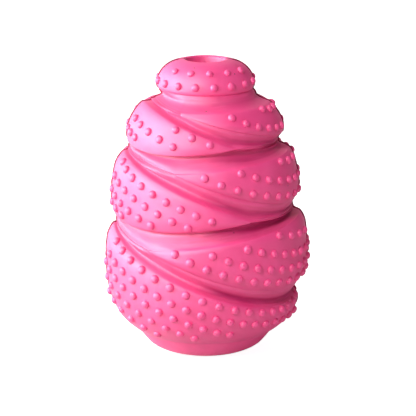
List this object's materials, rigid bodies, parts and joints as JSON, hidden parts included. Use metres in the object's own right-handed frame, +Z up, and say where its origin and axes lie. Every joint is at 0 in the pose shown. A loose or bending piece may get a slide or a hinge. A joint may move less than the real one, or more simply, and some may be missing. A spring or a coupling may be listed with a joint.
{
  "type": "rubber chew toy",
  "caption": "Hollow beehive-shaped rubber chew toy with tilted wedge lobes, smooth grooves and small nubs, a round treat hole on top, and a flat foot.",
  "frame": {"origin": "centre of the flat foot, on the surface that the toy stands on", "axes": "+Z up through the treat hole, -Y to the front, where the picture is taken from, +X to the right; the seam lies in the plane Y = 0"},
  "size_m": [0.0763, 0.0776, 0.11],
  "materials": {
    "rubber": "satin pink moulded rubber",
    "seam": "dark red rubber bond, matt"
  },
  "bodies": {
    "root": {"front_shell": "rubber", "rear_shell": "rubber", "left_seam_bond": "seam", "right_seam_bond": "seam"}
  },
  "joints": []
}
